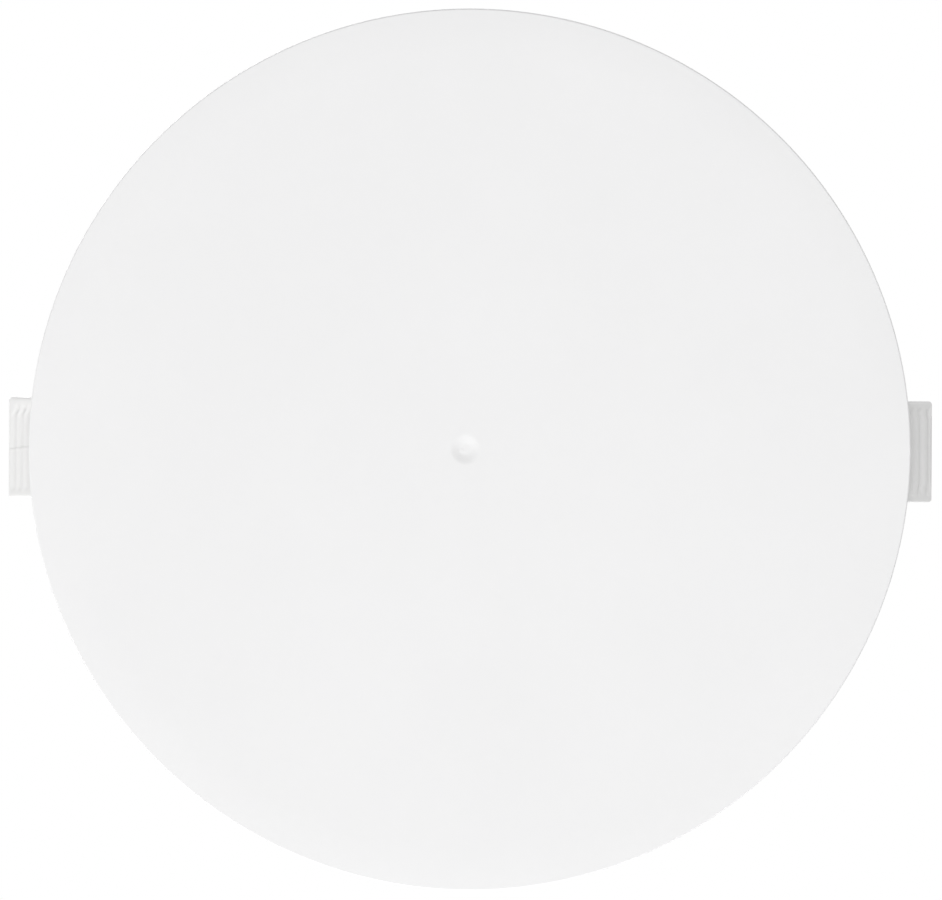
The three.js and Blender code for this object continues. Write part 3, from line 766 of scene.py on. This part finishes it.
# The bulb: a glass tube with a round end above and a drawn tip below, nearly full of red liquid.

bulb = {"wall": 0.35, "tip": 0.6, "tipBore": 0.2, "tipLength": 0.9, "taper": 1.5, "meniscus": 0.35}


def makeBulb():
    low, high = nodeBox("bulb_glass")
    radius, top, bottom = high[0], high[2], low[2] + bulb["tipLength"]
    inside = radius - bulb["wall"]
    glass = [
        (0, top), (radius, top, radius * 0.98), (radius, bottom + bulb["taper"], 1.2),
        (bulb["tip"] + 0.1, bottom + 0.1, 0.5), (bulb["tip"], low[2], 0.25), (bulb["tipBore"], low[2], 0.05),
        (bulb["tipBore"], bottom + 0.5, 0.3), (inside, bottom + bulb["taper"] + 0.3, 0.8),
        (inside, top - bulb["wall"], inside * 0.98), (0, top - bulb["wall"]),
    ]
    addPiece("bulbGlass", lathed(glass, 96, steps=14), "bulb_glass", sharp=60)

    low, high = nodeBox("bulb_liquid")
    radius, surface = high[0], high[2] - bulb["meniscus"]
    liquid = [
        (0, low[2]), (0.35, low[2] + 0.1, 0.2), (radius, low[2] + 1.2, 0.6), (radius, high[2], 0.05),
        (radius - 0.1, high[2] - 0.02, 0.05), (radius * 0.6, surface, 0.3), (0, surface),
    ]
    addPiece("bulbLiquid", lathed(liquid, 96, steps=8), "bulb_liquid", sharp=60)


makeBulb()


# The load screw in the boss: a cone on top for the bulb, a fine thread, and a hexagon socket below.

loadScrew = {"pitch": 0.8, "threadDepth": 0.35, "cone": 1.6, "drill": 0.95, "drillDepth": 2.6, "socket": 2.5}


def makeLoadScrew():
    low, high = nodeBox("load_screw")
    radius, top, bottom = high[0], high[2], low[2]
    cone, drill, drillEnd = loadScrew["cone"], loadScrew["drill"], top - loadScrew["drillDepth"]
    corners = [
        (0, bottom), (radius - 0.4, bottom), (radius, bottom + 0.4), (radius, top - 0.5), (cone + 0.1, top, 0.15),
        (cone - 0.1, top, 0.1), (drill, top - 0.55, 0.1), (drill, drillEnd, 0.1), (0, drillEnd - 0.3),
    ]

    def threaded(r, z, a):
        # as on the nipple, with the ridge of the turns made
        cut = 1 - ridge(z / loadScrew["pitch"] - a / fullTurn)
        onThread = smooth(r, radius - 0.3, radius - 0.25) * smooth(z, bottom + 0.2, bottom + 0.5)
        return r - loadScrew["threadDepth"] * cut * onThread * smooth(-z, -top + 0.3, -top + 0.6), z

    profile = finely(roundCorners(corners, closed=False), 0.09)
    piece = newObject("loadScrew", turned(profile, 96, threaded), sharp=38)
    hexagon = circle(loadScrew["socket"] / math.sqrt(3), 6, math.pi / 6)
    cutAway(piece, prism(hexagon, bottom - 1, bottom + 1.9, axis=2), sharp=38)
    fitPiece(piece, "load_screw")


makeLoadScrew()
print("valve, bulb and load screw made")

# The deflector on its two guide pins, and the yoke on the boss that the pins slide in.

yoke = {"ringHole": 4.7, "earHalf": 2.8, "earRound": 2.2, "pinHole": 1.25, "edge": 0.22}
deflector = {
    "hole": 3.0, "slotRoot": 8.6, "slotHalf": 0.85, "slotAngles": (-62.5, -37.5, -12.5, 12.5, 37.5, 62.5),
    "pinHole": 1.25, "edge": 0.12,
}
pin = {
    "sides": (1, -1), "spread": 10.5, "radius": 0.95, "shoulder": 1.7, "shoulderHeight": 0.9,
    "head": 1.8, "headHeight": 0.7, "plate": 1,
}


def pinHoles(radius, through):
    return [moved(cylinder(radius, *through), y=side * pin["spread"]) for side in pin["sides"]]


def makeYoke():
    low, high = nodeBox("guide_yoke")
    outline = rectangle((-yoke["earHalf"], yoke["earHalf"]), (low[1], high[1]), yoke["earRound"])
    piece = newObject("guideYoke", prism(circle(high[0], 96), low[2], high[2], axis=2))
    weldOn(piece, prism(outline, low[2], high[2], axis=2, steps=8))
    through = (low[2] - 1, high[2] + 1)
    cutAway(piece, cylinder(yoke["ringHole"], *through, 96), *pinHoles(yoke["pinHole"], through))
    softenEdges(piece, yoke["edge"])
    fitPiece(piece, "guide_yoke")


def makeDeflector():
    low, high = nodeBox("deflector")
    rows = np.linspace(deflector["hole"] + 0.6, high[0] - 0.6, 14)
    corners = [
        (deflector["hole"], low[2], deflector["edge"]), *[(r, low[2]) for r in rows],
        (high[0], low[2], deflector["edge"]), (high[0], high[2], deflector["edge"]),
        *[(r, high[2]) for r in rows[::-1]], (deflector["hole"], high[2], deflector["edge"]),
    ]
    piece = newObject("deflectorPlate", turned(roundCorners(corners, steps=4), 192))
    root, half, through = deflector["slotRoot"], deflector["slotHalf"], (low[2] - 1, high[2] + 1)
    start, end, rounding = root - half, high[0] + 1, half * 0.99
    outline = [(start, -half, rounding), (end, -half), (end, half), (start, half, rounding)]
    slot = prism(outline, *through, axis=2, steps=8)
    slots = copies(slot, [facing + angle for facing in (0, 180) for angle in deflector["slotAngles"]])
    cutAway(piece, *pinHoles(deflector["pinHole"], through), *slots)
    fitPiece(piece, "deflector")


def makeGuidePin(number, side):
    low, high = nodeBox(f"guide_pin_{number}")
    under = low[2] + pin["headHeight"]
    plate = under + pin["plate"]  # the deflector's top face
    shoulder = plate + pin["shoulderHeight"]
    shaft = [
        (0, low[2]), (pin["head"] * 0.6, low[2], 0.4), (pin["head"], under - 0.25, 0.3), (pin["head"], under, 0.05),
        (pin["radius"], under, 0.05), (pin["radius"], plate, 0.05), (pin["shoulder"], plate, 0.15),
        (pin["shoulder"], shoulder, 0.2), (pin["radius"], shoulder, 0.2),
        (pin["radius"], high[2], 0.3), (0, high[2]),
    ]
    addPiece(f"guidePin{number}", moved(lathed(shaft, 64), y=side * pin["spread"]), f"guide_pin_{number}")
    low, high = nodeBox(f"pin_stop_{number}")
    outer, inner, groove = (high[0] - low[0]) / 2, pin["radius"] + 0.3, (low[2] + high[2]) / 2
    sunk = outer - 0.2
    stop = [
        (inner, low[2], 0.12), (outer, low[2], 0.25), (outer, groove - 0.25, 0.05), (sunk, groove - 0.1, 0.1),
        (sunk, groove + 0.1, 0.1), (outer, groove + 0.25, 0.05), (outer, high[2], 0.25), (inner, high[2], 0.12),
    ]
    shell = moved(lathed(stop, 64, closed=True), y=side * pin["spread"])
    addPiece(f"pinStop{number}", shell, f"pin_stop_{number}")


makeYoke()
makeDeflector()
for number, side in enumerate(pin["sides"], 1):
    makeGuidePin(number, side)
print("yoke, deflector and pins made")


# The retainer: a skirt inside the cup on a flange, with slots for the latches, spring seats and three feet.

retainer = {
    "flangeLow": 0.1, "flangeHigh": 1.3, "opening": 16.6, "skirtOuter": 27.2, "skirtInner": 26.0, "round": 0.35,
    "bead": 0.35, "beadAt": -3.0,
    "slotInner": 22.8, "slotOuter": 29, "slotHalf": 4.2, "slotTop": 19.1,
    "seatInner": 16.8, "seatOuter": 18.6, "seatHalf": 3.5, "seatTop": 9.2, "seatRound": 1.6,
    "footRadius": 1.8, "footCircle": 20.5, "footAngles": (90, 210, 330),
    "screwHole": 1.1, "screwX": 23.8, "screwY": 7.1,
    "rivetHole": 1.0, "rivetCircle": 28.8, "rivetAngles": (30, 150, 270),
}


def makeRetainer():
    high, solderTop = nodeBox("retainer")[1], nodeBox("solder_pad_1")[1][2]
    flangeLow, flangeHigh, top = ceiling + retainer["flangeLow"], ceiling + retainer["flangeHigh"], high[2]
    outer, inner, small = retainer["skirtOuter"], retainer["skirtInner"], retainer["round"]
    opening, at = retainer["opening"], top + retainer["beadAt"]

    def beadUp(r):
        # the skirt's wall gives way inwards at its bead
        dent = r - retainer["bead"]
        return [(r, at - 1.2, 0.3), (dent, at - 0.6, 0.4), (dent, at + 0.6, 0.4), (r, at + 1.2, 0.3)]

    corners = [
        (opening, flangeLow, 0.4), (high[0], flangeLow, 0.5), (high[0], flangeHigh, 0.5),
        (outer, flangeHigh, small), *beadUp(outer), (outer, top, 0.4), (inner, top, 0.4),
        *beadUp(inner)[::-1], (inner, flangeHigh, small), (opening, flangeHigh, 0.4),
    ]
    piece = newObject("retainerRing", lathed(corners, 240, closed=True))
    half, seatTop, seatRound = retainer["seatHalf"], ceiling + retainer["seatTop"], retainer["seatRound"]
    foot = flangeLow + 0.3
    post = [(-half, foot), (half, foot), (half, seatTop, seatRound), (-half, seatTop, seatRound)]
    post = prism(post, retainer["seatInner"], retainer["seatOuter"], axis=0, steps=6)
    footRadius, fillet = retainer["footRadius"], retainer["footRadius"] + 1.2
    foot = [
        (0, solderTop), (footRadius, solderTop, 0.2), (footRadius, flangeLow, 0.7),
        (fillet, flangeLow + 0.02, 0.1), (fillet, flangeLow + 0.5), (0, flangeLow + 0.5),
    ]
    foot = moved(lathed(foot, 48), x=retainer["footCircle"])
    weldOn(piece, post, moved(post, turn=math.pi), *copies(foot, retainer["footAngles"]))
    slotX, slotY = (retainer["slotInner"], retainer["slotOuter"]), (-retainer["slotHalf"], retainer["slotHalf"])
    slot = prism(rectangle(slotX, (flangeLow - 1, ceiling + retainer["slotTop"])), *slotY)
    through = (flangeLow - 1, flangeHigh + 1)
    hole, x, y = cylinder(retainer["screwHole"], *through), retainer["screwX"], retainer["screwY"]
    screwHoles = [moved(hole, *spot) for spot in ((x, y), (x, -y), (-x, y), (-x, -y))]
    rivetHole = moved(cylinder(retainer["rivetHole"], *through), x=retainer["rivetCircle"])
    rivetHoles = copies(rivetHole, retainer["rivetAngles"])
    cutAway(piece, slot, moved(slot, turn=math.pi), *screwHoles, *rivetHoles)
    fitPiece(piece, "retainer")


makeRetainer()


# The latch springs: each is wire carried along a helix, with its end turns closed up.

coil = {"turns": 6.5, "closed": 0.9, "closedPitch": 1.9, "wire": 0.32, "steps": 44, "around": 12, "stroke": 2.05}


def makeLatchSpring(sideName):
    # height grows with (turns - closed turns); the end turns rise by one wire only
    node, side = f"{sideName}_latch_spring", latchSides[sideName]
    low, high = nodeBox(node)
    near, far = sorted(np.abs([low[0], high[0]]))
    wire = coil["wire"]
    radius, middle = (high[2] - low[2]) / 2 - wire, (high[2] + low[2]) / 2
    turns = np.linspace(0, coil["turns"], int(coil["turns"] * coil["steps"]))
    start, end = near + wire, far - wire - side["play"]
    opened = np.clip((turns - coil["closed"]) / (coil["turns"] - 2 * coil["closed"]), 0, 1)
    atEnds = np.clip(turns, 0, coil["closed"]) + np.clip(turns - coil["turns"] + coil["closed"], 0, None)
    closedUp = wire * coil["closedPitch"] * atEnds
    rise = start + closedUp + opened * (end - start - closedUp[-1])
    a = turns * fullTurn
    out = np.stack([0 * a, np.cos(a), np.sin(a)], -1)
    path = np.stack([rise, radius * out[:, 1], middle + radius * out[:, 2]], -1)
    shell = moved(carried(path, circle(wire, coil["around"]), out), turn=side["facing"])
    piece = newObject(f"{sideName}LatchSpring", shell, sharp=60)
    fitPiece(piece, node)
    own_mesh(piece)


for sideName in latchSides:
    makeLatchSpring(sideName)
print("retainer and latch springs made")


# The keepers under the latches' arms, with their screws; and the leaf springs, with their rivets.

keeper = {"strap": 0.6, "legInner": 4.2, "edge": 0.16, "bend": 0.5}
screw = {
    "shank": 0.8, "head": 1.5, "headHeight": 0.5, "pitch": 0.45, "threadDepth": 0.14,
    "recess": 0.32, "recessReach": 0.85, "recessHalf": 0.16,
}
leaf = {
    "root": 28.8, "reach": 37.6, "end": 2, "bend": 2.2, "bendRound": 1.2, "thickness": 0.3, "halfWidth": 2,
    "hole": 1.0, "edge": 0.06, "narrowing": 0.35,
}
rivet = {"shank": 0.7, "head": 1.35, "headHeight": 0.5}


def makeKeeper(sideName):
    low, high = nodeBox(f"{sideName}_keeper")
    half, leg, strapTop = high[1], keeper["legInner"], low[2] + keeper["strap"]
    outline = [(half, low[2], keeper["bend"]), (half, high[2], 0.2), (leg, high[2], 0.2), (leg, strapTop, 0.25)]
    outline += [(-x, z, rounding) for x, z, rounding in outline[::-1]]
    piece = newObject(f"{sideName}Keeper", prism(outline, low[0], high[0], axis=0, steps=4))
    spot = (low[0] + high[0]) / 2
    x = math.copysign(retainer["screwX"], spot)
    hole = cylinder(retainer["screwHole"], low[2] - 1, high[2] + 1)
    cutAway(piece, *[moved(hole, x=x, y=side * retainer["screwY"]) for side in (1, -1)])
    softenEdges(piece, keeper["edge"])
    fitPiece(piece, f"{sideName}_keeper")


def makeKeeperScrew(sideName, number):
    node = f"{sideName}_keeper_screw_{number}"
    low, high = nodeBox(node)
    middle = (low + high) / 2
    under, top, radius = low[2] + screw["headHeight"], high[2], screw["shank"]
    corners = [
        (0, low[2]), (screw["head"] * 0.75, low[2], 0.3), (screw["head"], under - 0.15, 0.15),
        (screw["head"], under, 0.05), (radius, under, 0.05), (radius, top - 0.15), (radius - 0.2, top), (0, top),
    ]

    def threaded(r, z, a):
        # a right-hand thread on the shank only
        onShank = (abs(r - radius) < 0.01) * smooth(z, under + 0.4, under + 0.7)
        return r - screw["threadDepth"] * onShank * (1 - ridge(z / screw["pitch"] - a / fullTurn)), z

    profile = finely(roundCorners(corners, closed=False), 0.06)
    piece = newObject(f"{sideName}KeeperScrew{number}", moved(turned(profile, 40, threaded), *middle[:2]))
    reach, half = screw["recessReach"], screw["recessHalf"]
    cross = [(reach, half), (half, half), (half, reach), (-half, reach), (-half, half), (-reach, half)]
    cross += [(-x, -y) for x, y in cross]
    cross = prism(cross, low[2] - 1, low[2] + screw["recess"], axis=2)
    cutAway(piece, moved(cross, *middle[:2], turn=0.6 * number))
    fitPiece(piece, node)


def makeLeaf(number, angle):
    node = f"eject_leaf_{number}"
    low, high = nodeBox(node)
    thickness, root, reach, end = leaf["thickness"], leaf["root"], leaf["reach"], leaf["end"]
    top, foot, bend, rounding = high[2], low[2], root + leaf["bend"], leaf["bendRound"]
    outline = [
        (root - end, top), (root - end, top - thickness), (bend, top - thickness, rounding),
        (reach - end - 0.2, foot, rounding), (reach, foot), (reach, foot + thickness),
        (reach - end, foot + thickness, rounding), (bend + 0.2, top, rounding),
    ]
    points, faces = prism(outline, -leaf["halfWidth"], leaf["halfWidth"], steps=5)
    points[:, 1] *= 1 - leaf["narrowing"] * smooth(points[:, 0], bend, reach)
    piece = newObject(f"ejectLeaf{number}", moved((points, faces), turn=math.radians(angle)))
    hole = moved(cylinder(leaf["hole"], top - 1, top + 1), x=root)
    cutAway(piece, moved(hole, turn=math.radians(angle)))
    softenEdges(piece, leaf["edge"])
    fitPiece(piece, node)

    node = f"leaf_rivet_{number}"
    low, high = nodeBox(node)
    middle = (low + high) / 2
    under = low[2] + rivet["headHeight"]
    shaft = [
        (0, low[2]), (rivet["head"] * 0.5, low[2] + 0.02, 0.3), (rivet["head"], under - 0.1, 0.5),
        (rivet["head"], under, 0.05), (rivet["shank"], under, 0.05), (rivet["shank"], high[2], 0.12), (0, high[2]),
    ]
    addPiece(f"leafRivet{number}", moved(lathed(shaft, 48, steps=8), *middle[:2]), node)


for sideName in latchSides:
    makeKeeper(sideName)
    for number in (1, 2):
        makeKeeperScrew(sideName, number)
for number, angle in enumerate(retainer["rivetAngles"], 1):
    makeLeaf(number, angle)
print("keepers, screws, leaves and rivets made")


# The solder pads between the retainer's feet and the plate: low beads with an uneven edge.

bead = {"bulge": 0.12, "uneven": 0.05, "waist": 0.1}


def makeSolderPad(number):
    node = f"solder_pad_{number}"
    low, high = nodeBox(node)
    middle, radius = (low + high) / 2, (high[0] - low[0]) / 2

    def run(r, z, a):
        # the edge's radius wanders by two slow waves round the pad
        wave = 0.6 * np.sin(3 * a + number) + 0.4 * np.sin(5 * a + 2.3 * number)
        return r * (1 - bead["uneven"] * (1 - wave) / 2 * smooth(r, 1.2, radius)), z

    corners = [
        (0, low[2]), (radius, low[2], 0.03), (radius - bead["waist"], (low[2] + high[2]) / 2, 0.15),
        (radius - bead["bulge"] - 0.3, high[2], 0.1), (0, high[2]),
    ]
    profile = finely(roundCorners(corners, closed=False), 0.25)
    addPiece(f"solderPad{number}", moved(turned(profile, 64, run), *middle[:2]), node)


for number in (1, 2, 3):
    makeSolderPad(number)
print("solder pads made")


# The camera looks straight up at the plate from far below, a touch off its axis and barely rolled.

view = {"distance": 3.2, "width": 0.0897, "aside": 0.000128, "ahead": 0.00004, "roll": -0.28, "sensor": 36}


def makeCamera():
    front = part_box("cover_plate")[0].z
    camera = bpy.data.objects.new("camera", bpy.data.cameras.new("camera"))
    camera.data.sensor_width = view["sensor"]
    camera.data.lens = view["sensor"] * view["distance"] / view["width"]
    camera.data.clip_end = 1000
    camera.location = (view["aside"], view["ahead"], front - view["distance"])
    camera.rotation_euler = (math.pi, 0, math.radians(view["roll"]))
    scene.collection.objects.link(camera)
    scene.camera = camera


# Studio: a pale floor far below, even light all round that is duller towards one side, and soft lamps.

studio = {
    "floorDrop": 4.4, "floorSize": 320, "floorColour": (0.80, 0.80, 0.80),
    "roomBright": 0.70, "roomDull": 0.41, "brightFrom": (-0.62, 0.62, 0.25),
    "seenOverhead": 1.0, "seenRound": 0.80,
}
lamps = {
    "keyLamp": {"at": (-0.62, 1.30, -0.70), "size": 1.1, "power": 15.3},
    "fillLamp": {"at": (0.0, 0.15, -2.4), "size": 1.4, "power": 14.5},
    "topLamp": {"at": (-1.2, -1.4, 2.2), "size": 1.6, "power": 60},
    "sideLamp": {"at": (2.4, -1.0, 0.9), "size": 0.9, "power": 10.8},
    "backLamp": {"at": (-0.6, 2.4, 0.8), "size": 1.0, "power": 26},
}


def makeStudio():
    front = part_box("cover_plate")[0].z
    middle = Vector((0, 0, front))
    for name, lamp in lamps.items():
        light = bpy.data.lights.new(name, "AREA")
        light.shape, light.size, light.energy = "DISK", lamp["size"], lamp["power"]
        holder = bpy.data.objects.new(name, light)
        holder.location = middle + Vector(lamp["at"])
        holder.rotation_euler = (middle - holder.location).to_track_quat("-Z", "Y").to_euler()
        holder.visible_camera = False
        scene.collection.objects.link(holder)
    half, height = studio["floorSize"] / 2, front - studio["floorDrop"]
    mesh = bpy.data.meshes.new("floor")
    mesh.from_pydata([(x, y, height) for x, y, _ in rectangle((-half, half), (-half, half))], [], [(0, 1, 2, 3)])
    floor = bpy.data.objects.new("floor", mesh)
    scene.collection.objects.link(floor)
    finish, tree, shader, place = startFinish("floorPale", {"set": {"Specular IOR Level": 0.1}})
    tone = grain(tree, place, 3, detail=2)
    paint(tree, shader, tone, studio["floorColour"], [0.985 * c for c in studio["floorColour"]])
    shader.inputs["Roughness"].default_value = 0.8
    mesh.materials.append(finish)

    world = bpy.data.worlds.new("studio")
    world.use_nodes = True
    scene.world = world
    tree = world.node_tree
    glow = tree.nodes["Background"]
    glow.inputs["Color"].default_value = (1, 1, 1, 1)
    place = addNode(tree, "TexCoord", "Generated")
    lean = addNode(tree, "VectorMath", "Value", {0: place, 1: studio["brightFrom"]}, operation="DOT_PRODUCT")
    room = spread(tree, lean, -0.9, 0.9, studio["roomDull"], studio["roomBright"])
    height = addNode(tree, "SeparateXYZ", "Z", {"Vector": place})
    backdrop = spread(tree, height, 0.1, 0.7, studio["seenRound"], studio["seenOverhead"])
    seen = addNode(tree, "LightPath", "Is Camera Ray")
    chosen = addNode(tree, "Mix", 0, {"Factor": seen, 2: room, 3: backdrop})
    tree.links.new(chosen, glow.inputs["Strength"])
    scene.view_settings.view_transform = "Standard"


makeCamera()
makeStudio()
print("camera and studio set")
